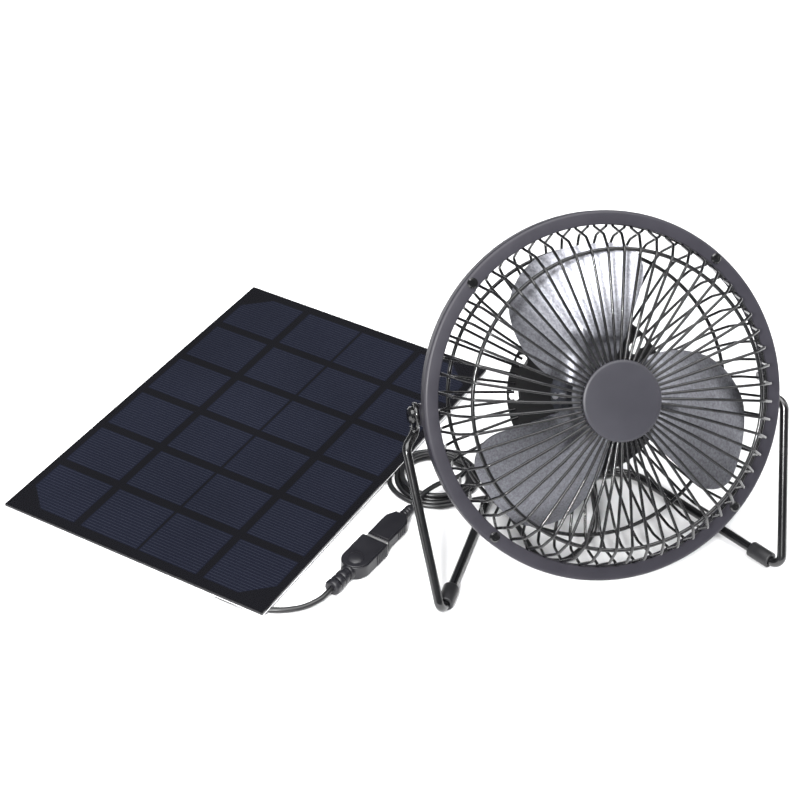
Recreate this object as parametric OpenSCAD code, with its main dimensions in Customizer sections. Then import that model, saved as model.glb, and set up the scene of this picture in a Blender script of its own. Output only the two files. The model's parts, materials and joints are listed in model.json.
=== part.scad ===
// Desk fan on a bent-wire stand, with a flat solar panel beside it and the leads that join them.
// Millimetres, +Z up. The fan faces -Y, and its tilt axis runs along X.

/* [Fan head] */
// Outer radius of the rim
rim_r = 92; // [85:1:100]
// Backward tilt of the head from upright, in degrees
tilt = 32.2; // [20:0.1:60]
// Height of the tilt axis above the table
pivot_z = 86.5; // [84:0.1:110]
// Number of wires in each guard
wire_count = 56; // [24:4:64]
// Diameter of a guard wire
wire_d = 1.5; // [1:0.1:2]
// Radius of the round badge at the front
badge_r = 20; // [14:1:26]

/* [Rotor] */
// Radius of the blade tips
tip_r = 76; // [60:1:78]
// Pitch of the blades, in degrees
blade_pitch = 22; // [10:1:26]

/* [Stand] */
// Diameter of the stand's rod
rod_d = 4.8; // [4:0.1:5]
// Distance of each front foot from the middle
foot_x = 90.2; // [80:0.2:95]
// How far the front feet stand in front of the tilt axis
foot_reach = 52; // [35:1:60]
// How far the rear bar lies behind the tilt axis
rear_bar_y = 42; // [36:1:60]

/* [Solar panel] */
// Long side of the panel
panel_l = 240; // [200:5:260]
// Short side of the panel
panel_w = 160; // [140:5:170]
// Height of the panel's top face above the table
panel_top = 5.3; // [5.2:0.1:7]
// Turn of the panel on the table, in degrees
panel_turn = -42.4; // [-50:0.1:-35]

/* [Leads] */
// Diameter of the fan's cord
cord_d = 2.8; // [2.4:0.1:3]
// Diameter of the panel's lead
lead_d = 3; // [2.6:0.1:3]

/* [Hidden] */
$fn = 64;

// Rim
sheet = 1;
rim_face_z = 4;
rim_half = 4;
rim_edge_r = 1.5;
rim_inner_r = rim_r - 7.1;
rim_gap = 0.15;
screw_r = 1.5;
screw_ring_r = rim_r - 3.5;
screw_count = 4;

// The tilt axis lies this far behind the middle plane of the rim
ring_fwd = 13;
pivot_y = 4.9;
tab_w = 11;
tab_t = 1.4;
tab_x = 89.8;
tab_foot_x = 86;
washer_x = tab_x + tab_t + 0.08;
washer_t = 0.6;
eye_x = washer_x + washer_t + 0.1;
eye_t = 2.4;
eye_r = 6.3;
pivot_head_x = eye_x + eye_t + 0.1;
pivot_head_t = 2.5;
pivot_r = 2;
pivot_play = 0.05;
pivot_nut_t = 2.4;

// Guards: each wire's profile is a list of [radius, height, twist in degrees]
wire_r = wire_d / 2;
wire_sides = 6;
hoop_r = 1;
edge_hoop_r = 0.8;
edge_hoop_ring_r = rim_inner_r + 1;
shoulder_hoop_r = 73.2 / 92 * rim_r;
front_hoop_z = 25.3;
rear_hoop_z = -26.1;
front_profile = [[rim_inner_r + 1.7, 2.2, -1], [rim_inner_r - 0.7, 2.6, -1], [rim_inner_r - 4.5, 19.2, -0.6],
  [shoulder_hoop_r, front_hoop_z + hoop_r + wire_r, 0], [41.7, 28.8, 1.2], [badge_r - 3, 28, 3.5]];
rear_profile = [[rim_inner_r + 1.7, -2.25, 0], [rim_inner_r - 0.5, -2.6, 0], [rim_inner_r - 4.9, -19, 0],
  [shoulder_hoop_r, rear_hoop_z + hoop_r + wire_r, 0], [43, -26.65, 0], [38.6, -26.65, 0]];
badge_z = 28.8;
badge_t = 1.8;
backing_t = 1.5;

// Motor and its plate
plate_r = 42;
plate_z = -27.4;
plate_t = 1.2;
motor_r = 15.5;
motor_front_z = -12;
motor_back_z = -44;
flange_r = 19.3;
motor_screw_ring_r = 17.4;
shaft_r = 1.5;
shaft_play = 0.05;
bushing_r = 3.15;
core_r = 10.5;
housing_r = 30;
housing_back_z = -53;
housing_t = 1.4;
housing_edge_r = 3;
housing_screw_ring_r = 24;
gland_z = -41;
gland_r = 3.2;
gland_len = 5;

// Switch on the back of the housing
switch_y = 21;
switch_w = 15;
switch_h = 8.8;
rocker_off = 8;
rocker_pivot_z = housing_back_z + 1.5;

// Rotor
hub_z = 2;
hub_r = 17;
boss_r = 5;
blade_t = 1;
blade_count = 3;
blade_first = 97;
rivet_ring_r = 9.5;

// Where the fan stands, so that the whole object is centred over the origin
guard_front_y = (ring_fwd + 27.8) * cos(tilt) + 73.4 * sin(tilt) - pivot_y;
panel_at = [-155.3, 106.7];
panel_half_x = (panel_w * cos(panel_turn) - panel_l * sin(panel_turn)) / 2;
panel_half_y = (panel_l * cos(panel_turn) - panel_w * sin(panel_turn)) / 2;
jog_x = 99.6;
fan_x = (panel_half_x - panel_at[0] - jog_x - rod_d / 2) / 2;
fan_y = (guard_front_y - panel_at[1] - panel_half_y) / 2;

// Stand: corner points of the rod's right half from the eye to the rear bar, and their bend radii
rod_r = rod_d / 2;
arm_x = eye_x + eye_t / 2;
base_z = rod_r;
foot_z = 4.75;
rear_corner_x = 38;
right_corners = [[arm_x, pivot_y - 1.2, pivot_z - 10], [jog_x, -4.5, 73.6], [foot_x, -foot_reach, foot_z],
  [rear_corner_x, rear_bar_y, base_z]];
bend_radii = [4, 6, 4, 25];
eye_drop = 8.5;
sleeve_r = 4.15;
sleeve_len = 13;
sleeve_start = 7.2;

// Panel layers and cells
pad_h = 3.1;
pad_r = 5;
board_t = 1.4;
cell_t = 0.2;
cell_columns = [-57.8, -18.3, 18.3, 57.8];
cell_w = 35.2;
cell_pitch = 38;
cell_l = 32.6;
end_cell_l = 34.6;
cell_rows = 6;
cell_chamfer = 14;
box_at = [26, -88];
box_size = [30, 22, 3];

// Socket and plug lie on one line, turned by plug_turn, starting at the socket's mouth
mouth_at = [-111, 5.2];
plug_turn = 45;
socket_len = 26;
socket_w = 15.6;
socket_h = 9;
socket_axis_z = 4.5;
plug_gap = 2.5;
plug_len = 18;
plug_w = 13;
plug_h = 7;
shell_w = 12;
shell_h = 4.5;
shell_t = 0.3;
shell_len = 12;
plug_shell_len = 14;
relief_len = 15.6;
plug_relief_len = 14;

// Routes, measured from the point on the table under the middle of the tilt axis
cord_route = [[0, 10.4, 42.7], [0.2, 7.6, 38.2], [1.5, 4.6, 32], [3.6, 0, 22], [4, -6, 11.5], [1, -10, 4.8],
  [-6, -15, 1.7], [-14.5, -21, 1.5], [-23, -21.5, 1.5], [-29.5, -16, 1.5], [-32, -6, 1.5], [-33, 4, 1.6],
  [-35, 13, 2.8], [-38, 20.5, 5.8], [-43, 26, 7.5], [-49, 29, 5.6], [-56, 31.5, 2.8]];
tail_route = [[-48, 60, 2.6], [-50.5, 55, 3], [-56, 50.5, 3.6], [-64, 46.5, 5.8], [-71, 42, 7.2],
  [-77.5, 37.5, 7.2], [-82, 33.6, 6], [-85.2, 30.9, 4.7], [-88, 28.2, 4.5]];
lead_route = [[-201.5, 17.6, 1.5], [-204.5, 12.5, 1.5], [-205.5, 4, 1.5], [-201.5, -7.5, 1.5], [-192, -18.5, 1.5], [-181, -26.5, 1.5],
  [-169, -31, 1.6], [-157, -31.8, 2], [-147.5, -29.6, 3.5], [-142, -25.8, 4.4],
  [-138.6, -22.4, 4.5]];
coil_at = [-67, 55];
coil_r = 20.8;
coil_w = 8.4;
coil_h = 5.2;
coil_top_w = 3.1;

// ---------- Placing ----------

module in_fan() translate([fan_x, fan_y, 0]) children();

module in_head() in_fan() translate([0, pivot_y, pivot_z]) rotate([90 - tilt, 0, 0]) translate([0, 0, ring_fwd])
  children();

module on_panel() in_fan() translate(panel_at) rotate(panel_turn) children();

module on_plug_line() in_fan() translate([mouth_at[0], mouth_at[1], socket_axis_z]) rotate(plug_turn) children();

module both_sides() {
  children();
  mirror([1, 0, 0]) children();
}

module around_rim() for (i = [0 : screw_count - 1]) rotate(45 + 360 * i / screw_count)
  translate([screw_ring_r, 0, 0]) children();

// ---------- Swept tubes ----------

function unit(v) = v / norm(v);

function flat(lists) = [for (l = lists) for (x = l) x];

// Points of a round bend that replaces corner b between a and c
function bend(a, b, c, r, n) =
  let (d1 = unit(b - a), d2 = unit(c - b), turn = acos(d1 * d2),
    start = b - d1 * r * tan(turn / 2),
    centre = b + unit(d2 - d1) * r / cos(turn / 2),
    x_dir = unit(start - centre))
  [for (i = [0 : n]) centre + r * (cos(turn * i / n) * x_dir + sin(turn * i / n) * d1)];

// Catmull-Rom curve through the points p, with n steps between neighbours
function smooth(p, n) =
  let (last = len(p) - 1)
  concat([for (i = [0 : last - 1])
      let (a = i == 0 ? 2 * p[0] - p[1] : p[i - 1],
        d = i == last - 1 ? 2 * p[last] - p[last - 1] : p[i + 2])
      for (k = [0 : n - 1])
        let (t = k / n)
        (2 * p[i] + (p[i + 1] - a) * t + (2 * a - 5 * p[i] + 4 * p[i + 1] - d) * t * t
          + (3 * p[i] - a - 3 * p[i + 1] + d) * t * t * t) / 2],
    [p[last]]);

function tangents(p) = [for (i = [0 : len(p) - 1]) unit(p[min(i + 1, len(p) - 1)] - p[max(i - 1, 0)])];

// A side direction at every point, carried along without twist
function side_dirs(t, u, i = 0) = i == len(t) ? [] :
  let (w = unit(u - (u * t[i]) * t[i])) concat([w], side_dirs(t, w, i + 1));

function tube_points(p, r, sides) =
  let (t = tangents(p), u = side_dirs(t, cross(t[0], [0, 0, 1]) + [0.01, 0.02, 0]))
  [for (i = [0 : len(p) - 1]) let (v = cross(t[i], u[i]))
    for (k = [0 : sides - 1]) p[i] + r * (cos(360 * k / sides) * u[i] + sin(360 * k / sides) * v)];

function tube_faces(rings, sides, first = 0) = concat(
  [for (i = [0 : rings - 2]) for (k = [0 : sides - 1])
    let (a = first + i * sides + k, b = first + i * sides + (k + 1) % sides)
    each [[a, a + sides, b], [b, a + sides, b + sides]]],
  [[for (k = [0 : sides - 1]) first + k]],
  [[for (k = [sides - 1 : -1 : 0]) first + (rings - 1) * sides + k]]);

module tube(p, r, sides) polyhedron(points = tube_points(p, r, sides), faces = tube_faces(len(p), sides));

// Corner rings of one guard wire that follows a profile at one angle round the axis
function wire_points(profile, angle) =
  let (n = len(profile), flat_p = [for (q = profile) [q[0], q[1]]],
    d = [for (i = [0 : n - 2]) unit(flat_p[i + 1] - flat_p[i])])
  [for (i = [0 : n - 1])
    let (before = d[max(i - 1, 0)], after = d[min(i, n - 2)], along = unit(before + after),
      stretch = 1 / (along * after), turn = angle + profile[i][2],
      out_dir = [cos(turn), sin(turn), 0], side_dir = [-sin(turn), cos(turn), 0],
      up_dir = (out_dir * -along[1] + [0, 0, along[0]]) * stretch,
      centre = out_dir * profile[i][0] + [0, 0, profile[i][1]])
    for (k = [0 : wire_sides - 1])
      centre + wire_r * (cos(360 * k / wire_sides) * up_dir + sin(360 * k / wire_sides) * side_dir)];

module guard_wires(profile) {
  rings = len(profile);
  polyhedron(
    points = flat([for (i = [0 : wire_count - 1]) wire_points(profile, 360 * i / wire_count)]),
    faces = flat([for (i = [0 : wire_count - 1]) tube_faces(rings, wire_sides, i * rings * wire_sides)]));
}

module hoop(ring_r, z, r) rotate_extrude() translate([ring_r, z]) circle(r = r);

// ---------- Rim ----------

module rim_section() {
  translate([rim_inner_r, rim_face_z - sheet]) square([rim_r - rim_edge_r - rim_inner_r, sheet]);
  translate([rim_r - sheet, -rim_half]) square([sheet, rim_face_z - rim_edge_r + rim_half]);
  translate([rim_r - rim_edge_r, rim_face_z - rim_edge_r]) intersection() {
    difference() {
      circle(r = rim_edge_r);
      circle(r = rim_edge_r - sheet);
    }
    square(rim_edge_r);
  }
}

module front_rim() color("#2b2c31") in_head() difference() {
  rotate_extrude($fn = 128) rim_section();
  around_rim() cylinder(r = screw_r + 0.1, h = 2 * rim_face_z);
}

module rear_rim() color("#2b2c31") in_head() difference() {
  rotate_extrude($fn = 128) translate([rim_inner_r, -rim_half])
    square([rim_r - sheet - rim_gap - rim_inner_r, sheet]);
  around_rim() translate([0, 0, -2 * rim_half]) cylinder(r = screw_r + 0.1, h = 2 * rim_half);
}

module rim_screws() color("#3a3b40") in_head() around_rim() difference() {
  union() {
    translate([0, 0, rim_face_z]) cylinder(r = 2.6, h = 0.7);
    translate([0, 0, rim_face_z + 0.7]) cylinder(r1 = 2.6, r2 = 1.9, h = 0.6);
    translate([0, 0, -6.6]) cylinder(r = screw_r, h = 6.6 + rim_face_z);
  }
  for (a = [0, 90]) rotate(a) translate([-1.4, -0.3, rim_face_z + 0.6]) cube([2.8, 0.6, 1]);
}

module rim_nuts() color("silver") in_head() around_rim() translate([0, 0, -rim_half - 2.25]) difference() {
  cylinder(r = 3.1, h = 2.2, $fn = 6);
  translate([0, 0, -1]) cylinder(r = screw_r + 0.05, h = 5);
}

// ---------- Guards ----------

module front_guard_wires() color("#2b2c31") in_head() guard_wires(front_profile);

module front_guard_hoops() color("#2b2c31") in_head() {
  hoop(edge_hoop_ring_r, 0.9, edge_hoop_r);
  hoop(shoulder_hoop_r, front_hoop_z, hoop_r);
}

module rear_guard_wires() color("#2b2c31") in_head() guard_wires(rear_profile);

module rear_guard_hoops() color("#2b2c31") in_head() {
  hoop(edge_hoop_ring_r, -0.9, edge_hoop_r);
  hoop(shoulder_hoop_r, rear_hoop_z, hoop_r);
}

module front_badge() color("#8d8d97") in_head() translate([0, 0, badge_z]) {
  cylinder(r = badge_r, h = badge_t / 2);
  translate([0, 0, badge_t / 2]) cylinder(r1 = badge_r, r2 = badge_r - 0.9, h = badge_t / 2);
}

module badge_backing() color("#2b2c31") in_head() {
  translate([0, 0, badge_z - 2 * wire_r - backing_t - 0.15]) cylinder(r = badge_r - 1, h = backing_t);
  translate([0, 0, badge_z - 2 * wire_r - 0.15]) cylinder(r = 5, h = 2 * wire_r + 0.15);
}

// ---------- Motor ----------

module motor_plate() color("#303136") in_head() difference() {
  translate([0, 0, plate_z - plate_t]) cylinder(r = plate_r, h = plate_t);
  translate([0, 0, plate_z - 2 * plate_t]) {
    cylinder(r = motor_r + 0.1, h = 3 * plate_t);
    for (a = [36, 149, 176]) rotate(a) translate([plate_r - 4, 0, 0]) cylinder(r = 3, h = 3 * plate_t);
    rotate(36) translate([plate_r - 8.5, 0, 0]) cylinder(r = 3, h = 3 * plate_t);
    for (a = [0, 180]) rotate(a) translate([motor_screw_ring_r, 0, 0])
      cylinder(r = 1.05, h = 3 * plate_t);
    for (a = [90, 210, 330]) rotate(a) translate([housing_screw_ring_r, 0, 0])
      cylinder(r = 1.3, h = 3 * plate_t);
  }
}

module housing_section() {
  inner_r = housing_r - housing_t;
  front_z = plate_z - plate_t - 0.05;
  translate([inner_r, housing_back_z + housing_edge_r]) square([housing_t, front_z - housing_back_z - housing_edge_r]);
  translate([0, housing_back_z]) square([housing_r - housing_edge_r, housing_t]);
  translate([housing_r - housing_edge_r, housing_back_z + housing_edge_r]) intersection() {
    difference() {
      circle(r = housing_edge_r);
      circle(r = housing_edge_r - housing_t);
    }
    translate([0, -housing_edge_r]) square(housing_edge_r);
  }
}

module rear_housing() color("#303136") in_head() difference() {
  union() {
    rotate_extrude($fn = 96) housing_section();
    for (a = [90, 210, 330]) rotate(a) translate([housing_screw_ring_r, 0, plate_z - plate_t - 6.05]) difference() {
      cylinder(r = 2.6, h = 6);
      translate([0, 0, 1]) cylinder(r = 1.25, h = 8);
    }
    for (a = [90, 210, 330]) rotate(a) translate([housing_screw_ring_r + 2.3, -1, plate_z - plate_t - 6.05])
      cube([housing_r - housing_screw_ring_r - 3, 2, 6]);
  }
  translate([-6.6, switch_y - 4.15, housing_back_z - 1]) cube([13.2, 8.3, 4]);
  translate([0, 0, gland_z]) rotate([90, 0, 0]) cylinder(r = 2.4, h = 2 * housing_r);
  for (x = [-12, -6, 0, 6, 12]) translate([x - 1.25, -15, housing_back_z - 1]) cube([2.5, 18, 4]);
}

module housing_screws() color("silver") in_head() for (a = [90, 210, 330]) rotate(a)
  translate([housing_screw_ring_r, 0, plate_z]) {
    cylinder(r = 2.3, h = 1.3);
    translate([0, 0, -6]) cylinder(r = 1.2, h = 6);
  }

module motor_can() color("#8c8f93") in_head() difference() {
  union() {
    translate([0, 0, motor_back_z]) cylinder(r = motor_r, h = motor_front_z - motor_back_z);
    translate([0, 0, plate_z + 0.05]) cylinder(r = flange_r, h = 1.2);
  }
  translate([0, 0, motor_back_z - 1]) cylinder(r = motor_r - 1, h = motor_front_z - motor_back_z - 0.2);
  translate([0, 0, motor_front_z - 3]) cylinder(r = bushing_r, h = 4);
  for (a = [0, 180]) rotate(a) translate([motor_screw_ring_r, 0, plate_z - 1]) cylinder(r = 1.05, h = 4);
}

module motor_magnets() color("#4a4a4d") in_head() translate([0, 0, -38]) difference() {
  cylinder(r = motor_r - 1.1, h = 18);
  translate([0, 0, -1]) cylinder(r = core_r + 0.5, h = 20);
  translate([-20, -3, -1]) cube([40, 6, 20]);
}

module motor_end_cap() color("#1f1f21") in_head() translate([0, 0, motor_back_z - 3]) difference() {
  union() {
    cylinder(r = motor_r, h = 2.95);
    cylinder(r = motor_r - 1.1, h = 5);
  }
  translate([0, 0, 3.5]) cylinder(r = motor_r - 3, h = 4);
  translate([0, 0, -1]) cylinder(r = bushing_r, h = 8);
}

module bushing(z, len) translate([0, 0, z]) difference() {
  cylinder(r = bushing_r - 0.02, h = len);
  translate([0, 0, -1]) cylinder(r = shaft_r + shaft_play, h = len + 2);
}

module front_bushing() color("#b08d57") in_head() bushing(motor_front_z - 1.2, 3);

module rear_bushing() color("#b08d57") in_head() bushing(motor_back_z - 3, 3.4);

module motor_brushes() color("#3b3b3b") in_head() both_sides() translate([3.6, -1.2, motor_back_z + 0.9])
  cube([7.5, 2.4, 1.9]);

module motor_screws() color("silver") in_head() for (a = [0, 180]) rotate(a)
  translate([motor_screw_ring_r, 0, plate_z + 1.25]) {
    cylinder(r = 1.6, h = 1);
    translate([0, 0, -3.2]) cylinder(r = 1, h = 3.2);
  }

module switch_body() color("#151517") in_head() translate([0, switch_y, 0]) difference() {
  union() {
    translate([-switch_w / 2, -switch_h / 2, housing_back_z - 1]) cube([switch_w, switch_h, 0.98]);
    translate([-6.5, -4.1, housing_back_z - 0.5]) cube([13, 8.2, 11]);
  }
  translate([-5.9, -3.6, housing_back_z - 2]) cube([11.8, 7.2, 7]);
  translate([-6.2, 0, rocker_pivot_z]) rotate([0, 90, 0]) cylinder(r = 0.85, h = 12.4);
}

module switch_rocker() color("#1d1d20") in_head() translate([0, switch_y, rocker_pivot_z])
  rotate([-rocker_off, 0, 0]) {
    translate([-5.6, 0, 0]) rotate([90, 0, 90]) linear_extrude(11.2)
      polygon([[-3.2, -2.6], [0, -3.2], [3.2, -2.6], [3.2, 0.6], [0, 1.6], [-3.2, 0.6]]);
    translate([-6.1, 0, 0]) rotate([0, 90, 0]) cylinder(r = 0.8, h = 12.2);
  }

module cord_gland() color("#1b1b1d") in_head() translate([0, 1 - housing_r, gland_z]) rotate([90, 0, 0])
  difference() {
    union() {
      cylinder(r = 2.35, h = gland_len);
      translate([0, 0, 1.05]) cylinder(r = gland_r, h = 1.2);
      translate([0, 0, -1.9]) cylinder(r = gland_r, h = 1.2);
      translate([0, 0, -0.8]) cylinder(r = 2.35, h = 1);
    }
    translate([0, 0, -3]) cylinder(r = cord_d / 2 + 0.05, h = 12);
  }

// ---------- Tilt pivots ----------

module at_pivots() in_head() both_sides() translate([0, 0, -ring_fwd]) rotate([0, 90, 0]) children();

module pivot_tabs() color("#2b2c31") in_head() both_sides() difference() {
  union() {
    translate([tab_x, -tab_w / 2, -ring_fwd]) cube([tab_t, tab_w, ring_fwd - 4.02]);
    translate([tab_foot_x, -tab_w / 2, -4.02 - tab_t]) cube([tab_x + tab_t - tab_foot_x, tab_w, tab_t]);
    translate([tab_x, 0, -ring_fwd]) rotate([0, 90, 0]) cylinder(r = tab_w / 2, h = tab_t);
  }
  translate([tab_x - 1, 0, -ring_fwd]) rotate([0, 90, 0]) cylinder(r = pivot_r + pivot_play, h = 4);
}

module pivot_screws() color("#3a3b40") at_pivots() difference() {
  union() {
    translate([0, 0, pivot_head_x]) cylinder(r = 4.3, h = 1.4);
    translate([0, 0, pivot_head_x + 1.4]) cylinder(r1 = 4.3, r2 = 3.2, h = pivot_head_t - 1.4);
    translate([0, 0, tab_x - pivot_nut_t - 1]) cylinder(r = pivot_r, h = pivot_head_x - tab_x + pivot_nut_t + 1);
  }
  for (a = [45, 135]) rotate(a) translate([-2.2, -0.4, pivot_head_x + 1.2]) cube([4.4, 0.8, 3]);
}

module pivot_washers() color("#3a3b40") at_pivots() translate([0, 0, washer_x]) difference() {
  cylinder(r = 4.6, h = washer_t);
  translate([0, 0, -1]) cylinder(r = pivot_r + pivot_play, h = 3);
}

module pivot_nuts() color("silver") at_pivots() translate([0, 0, tab_x - pivot_nut_t - 0.02]) difference() {
  cylinder(r = 3.18, h = pivot_nut_t, $fn = 6);
  translate([0, 0, -1]) cylinder(r = pivot_r + pivot_play, h = 5);
}

// ---------- Rotor ----------

module motor_shaft() color("silver") in_head() translate([0, 0, motor_back_z - 2.8])
  cylinder(r = shaft_r, h = 9 + 2.8 - motor_back_z);

module armature_core() color("#6d6f73") in_head() translate([0, 0, -36]) difference() {
  cylinder(r = core_r, h = 14);
  translate([0, 0, -1]) cylinder(r = shaft_r, h = 16);
}

module armature_windings() color("#b5652f") in_head() for (z = [-39.9, -21.95]) translate([0, 0, z])
  difference() {
    cylinder(r = 9, h = 3.85);
    translate([0, 0, -1]) cylinder(r = 4, h = 6);
  }

module commutator() color("#b87333") in_head() translate([0, 0, -43.4]) difference() {
  cylinder(r = 3.4, h = 3.2);
  translate([0, 0, -1]) cylinder(r = shaft_r, h = 6);
}

module blade_hub() color("#9a9ca1") in_head() difference() {
  union() {
    translate([0, 0, hub_z - 7]) cylinder(r = boss_r, h = 13);
    translate([0, 0, hub_z - 2.6]) cylinder(r = 12, h = 1.9);
  }
  translate([0, 0, hub_z - 8]) cylinder(r = shaft_r, h = 16);
}

module hub_rivets() color("silver") in_head() for (i = [0 : 2]) rotate(30 + 120 * i)
  translate([rivet_ring_r, 0, hub_z]) {
    translate([0, 0, -0.7]) cylinder(r = 1.5, h = 1.5 + blade_t);
    translate([0, 0, 0.6]) cylinder(r1 = 2.3, r2 = 1.6, h = 0.9);
  }

// Angles of a blade's two edges from the blade's middle line, at radius r
function plain_edge(r) = -27;
function swept_edge(r) = 57 - 33 * pow(max(r - 24, 0) / (tip_r - 24), 1.25);

// Tip radius across the blade, with round corners: s runs from 0 to 1 between the edges
function blade_end(s) =
  let (corner = 17, width = tip_r * (swept_edge(tip_r) - plain_edge(tip_r)) * PI / 180,
    d = max(corner - min(s, 1 - s) * width, 0))
  tip_r - corner + sqrt(corner * corner - d * d);

function blade_point(s, q, side) =
  let (root_r = hub_r - 3, r = root_r + q * (blade_end(s) - root_r),
    angle = plain_edge(r) + s * (swept_edge(r) - plain_edge(r)),
    rise = min(max((r - hub_r) / 14, 0), 1),
    middle = (plain_edge(r) + swept_edge(r)) / 2,
    z = -tan(blade_pitch) * r * (angle - middle) * PI / 180 * rise * rise * (3 - 2 * rise))
  [r * cos(angle), r * sin(angle), hub_z + z + side * blade_t / 2];

module blade() {
  s_steps = [0, 0.03, 0.1, 0.2, 0.35, 0.5, 0.65, 0.8, 0.9, 0.97, 1];
  q_steps = [0, 0.06, 0.14, 0.24, 0.4, 0.6, 0.8, 1];
  m = len(s_steps);
  n = len(q_steps);
  layer = m * n;
  edge = concat([for (i = [0 : m - 1]) i * n], [for (j = [1 : n - 1]) (m - 1) * n + j],
    [for (i = [m - 2 : -1 : 0]) i * n + n - 1], [for (j = [n - 2 : -1 : 1]) j]);
  polyhedron(
    points = [for (side = [-1, 1]) for (s = s_steps) for (q = q_steps) blade_point(s, q, side)],
    faces = concat(
      [for (i = [0 : m - 2]) for (j = [0 : n - 2]) let (a = i * n + j)
        each [[a, a + 1, a + n], [a + 1, a + n + 1, a + n],
          [layer + a, layer + a + n, layer + a + 1], [layer + a + 1, layer + a + n, layer + a + n + 1]]],
      [for (e = [0 : len(edge) - 1]) let (a = edge[e], b = edge[(e + 1) % len(edge)])
        each [[a, b, layer + a], [b, layer + b, layer + a]]]));
}

module blades() color("#c9cbd0") in_head() difference() {
  union() {
    translate([0, 0, hub_z - 0.6]) cylinder(r = hub_r, h = blade_t + 0.2);
    for (i = [0 : blade_count - 1]) rotate(blade_first + 360 * i / blade_count) blade();
  }
  translate([0, 0, hub_z - 3]) cylinder(r = boss_r + 0.02, h = 6);
  for (i = [0 : 2]) rotate(30 + 120 * i) translate([rivet_ring_r, 0, hub_z - 3]) cylinder(r = 1.52, h = 6);
}

// ---------- Stand ----------

function right_rod() =
  let (p = concat([[arm_x, pivot_y, pivot_z - eye_drop + 1.5]], right_corners, [[0, rear_bar_y, base_z]]))
  concat([p[0]], flat([for (i = [1 : 4]) bend(p[i - 1], p[i], p[i + 1], bend_radii[i - 1], i < 3 ? 4 : 7)]));

function mirrored(p) = [for (i = [len(p) - 1 : -1 : 0]) [-p[i][0], p[i][1], p[i][2]]];

module stand_wire() color("#1d1d20") in_fan()
  tube(concat(right_rod(), mirrored(right_rod())), rod_r, 12);

module stand_eyes() color("#1d1d20") in_fan() both_sides() translate([eye_x, pivot_y, pivot_z]) difference() {
  union() {
    rotate([0, 90, 0]) cylinder(r = eye_r, h = eye_t);
    translate([0, -3.4, -eye_drop]) cube([eye_t, 6.8, eye_drop]);
  }
  translate([-1, 0, 0]) rotate([0, 90, 0]) cylinder(r = pivot_r + pivot_play, h = eye_t + 2);
}

module foot_sleeves() color("#26262a") in_fan() both_sides() {
  a = [foot_x, -foot_reach, foot_z];
  d = unit([rear_corner_x, rear_bar_y, base_z] - a);
  translate(a + d * sleeve_start) rotate([0, acos(d[2]), atan2(d[1], d[0])]) difference() {
    cylinder(r = sleeve_r, h = sleeve_len);
    translate([0, 0, -1]) cylinder(r = rod_r + 0.02, h = sleeve_len + 2);
  }
}

// ---------- Solar panel ----------

board_z = pad_h;
cell_z = board_z + board_t;
cover_z = cell_z + cell_t + 0.02;

function row_y(i) = (i - (cell_rows - 1) / 2) * cell_pitch + (i == 0 ? -1 : i == cell_rows - 1 ? 1 : 0);

module panel_board() color("#e9e9ea") on_panel() translate([-panel_w / 2, -panel_l / 2, board_z])
  cube([panel_w, panel_l, board_t]);

module solar_cells() color("#151c33") on_panel() translate([0, 0, cell_z]) linear_extrude(cell_t)
  intersection() {
    for (x = cell_columns) for (i = [0 : cell_rows - 1])
      translate([x, row_y(i)]) square([cell_w, i == 0 || i == cell_rows - 1 ? end_cell_l : cell_l], center = true);
    field_x = cell_columns[3] + cell_w / 2;
    field_y = row_y(cell_rows - 1) + end_cell_l / 2;
    polygon([for (s = [[1, 1], [-1, 1], [-1, -1], [1, -1]]) let (c = cell_chamfer, turn = s[0] * s[1] > 0)
      each [[s[0] * (field_x - (turn ? 0 : c)), s[1] * (field_y - (turn ? c : 0))],
        [s[0] * (field_x - (turn ? c : 0)), s[1] * (field_y - (turn ? 0 : c))]]]);
  }

module panel_cover() color("#14151b") on_panel() translate([-panel_w / 2 + 0.6, -panel_l / 2 + 0.6, cover_z])
  cube([panel_w - 1.2, panel_l - 1.2, panel_top - cover_z]);

module panel_pads() color("#2a2a2c") on_panel() for (x = [-66, 66]) for (y = [-104, 104])
  translate([x, y, 0]) cylinder(r = pad_r, h = pad_h);

module junction_box() color("#1b1b1d") on_panel() translate([box_at[0], box_at[1], pad_h - box_size[2] - 0.02])
  difference() {
    translate([-box_size[0] / 2, -box_size[1] / 2, 0]) cube(box_size);
    translate([-box_size[0] / 2 + 1.5, -box_size[1] / 2 + 3, 1]) cube([box_size[0] - 3, box_size[1] - 4.5, 5]);
  }

// ---------- Panel lead and socket ----------

module panel_lead() color("#202023") in_fan() tube(smooth(lead_route, 2), lead_d / 2, 8);

module lead_strain_relief() color("#26262b") on_plug_line() translate([-socket_len, 0, 0]) rotate([0, -90, 0])
  difference() {
    union() {
      cylinder(r1 = 4, r2 = 3, h = relief_len);
      for (z = [3.2, 7.4, 11.6]) translate([0, 0, z]) cylinder(r1 = 4.3 - z / 18, r2 = 4.1 - z / 18, h = 2.4);
    }
    translate([0, 0, relief_len - 3]) cylinder(r = lead_d / 2 + 0.05, h = 5);
  }

module socket_overmould() color("#26262b") on_plug_line() difference() {
  translate([0, 0, -socket_h / 2 + 0.05]) linear_extrude(socket_h - 0.1) {
    translate([-socket_len + socket_w / 2, 0]) circle(d = socket_w);
    translate([-socket_len + socket_w / 2, -socket_w / 2]) square([socket_len - socket_w / 2, socket_w]);
  }
  translate([-16, -shell_w / 2 - 0.65, -shell_h / 2 - 0.65]) cube([20, shell_w + 1.3, shell_h + 1.3]);
}

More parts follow.
